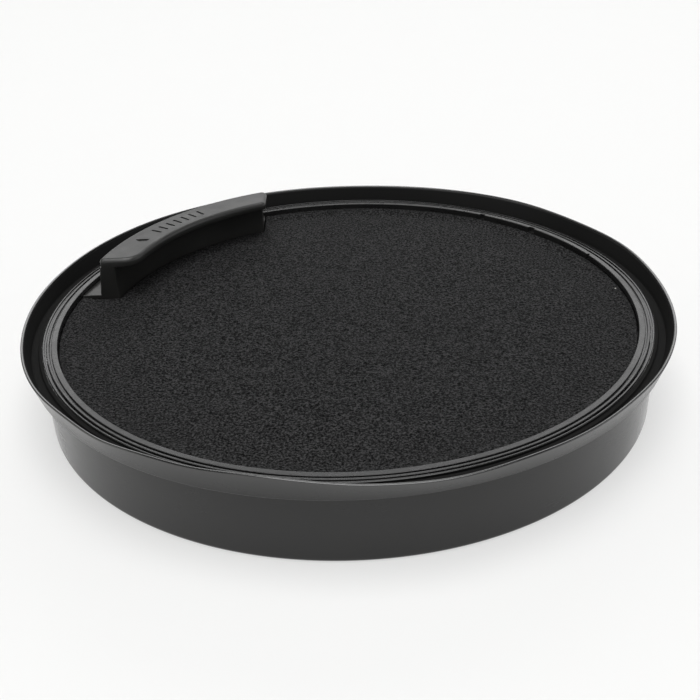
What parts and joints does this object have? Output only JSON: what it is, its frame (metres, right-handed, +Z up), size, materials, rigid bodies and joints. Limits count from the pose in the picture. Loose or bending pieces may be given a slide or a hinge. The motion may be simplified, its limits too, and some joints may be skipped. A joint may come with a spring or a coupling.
{
  "type": "foam filter cartridge",
  "caption": "Round shallow filter cartridge: drum with a flared soft lip seal, pleated fine filter, and a lift-out frame with a foam disc and a curved pull grip.",
  "frame": {"origin": "centre of the drum's underside, on the surface it stands on", "axes": "+Z up along the drum's axis, out of the foam side; the grip lies between +Y and -X"},
  "size_m": [0.18, 0.18, 0.032],
  "materials": {
    "drum_plastic": "satin black moulded plastic",
    "grille_plastic": "satin black moulded plastic",
    "filter_paper": "matte off-white pleated filter paper",
    "sealant": "poured sealant, soft sheen",
    "seal_rubber": "smooth soft black rubber",
    "frame_plastic": "satin black moulded plastic",
    "net_plastic": "extruded plastic netting",
    "grip_plastic": "fine matte texture on the top, satin sides",
    "filter_foam": "open-cell black foam"
  },
  "bodies": {
    "drum": {"drum_shell": "drum_plastic", "outlet_grille": "grille_plastic", "pleated_filter": "filter_paper", "potting_bead": "sealant", "lip_seal": "seal_rubber"},
    "insert": {"insert_frame": "frame_plastic", "floor_grille": "frame_plastic", "support_net": "net_plastic", "pull_grip": "grip_plastic"},
    "foam": {"foam_disc": "filter_foam"}
  },
  "joints": [
    {"name": "insert_lift", "type": "slide", "parent": "drum", "child": "insert", "axis": [0, 0, 1], "range_m": [0, 0.03]},
    {"name": "foam_lift", "type": "slide", "parent": "insert", "child": "foam", "axis": [0, 0, 1], "range_m": [0, 0.04]}
  ]
}
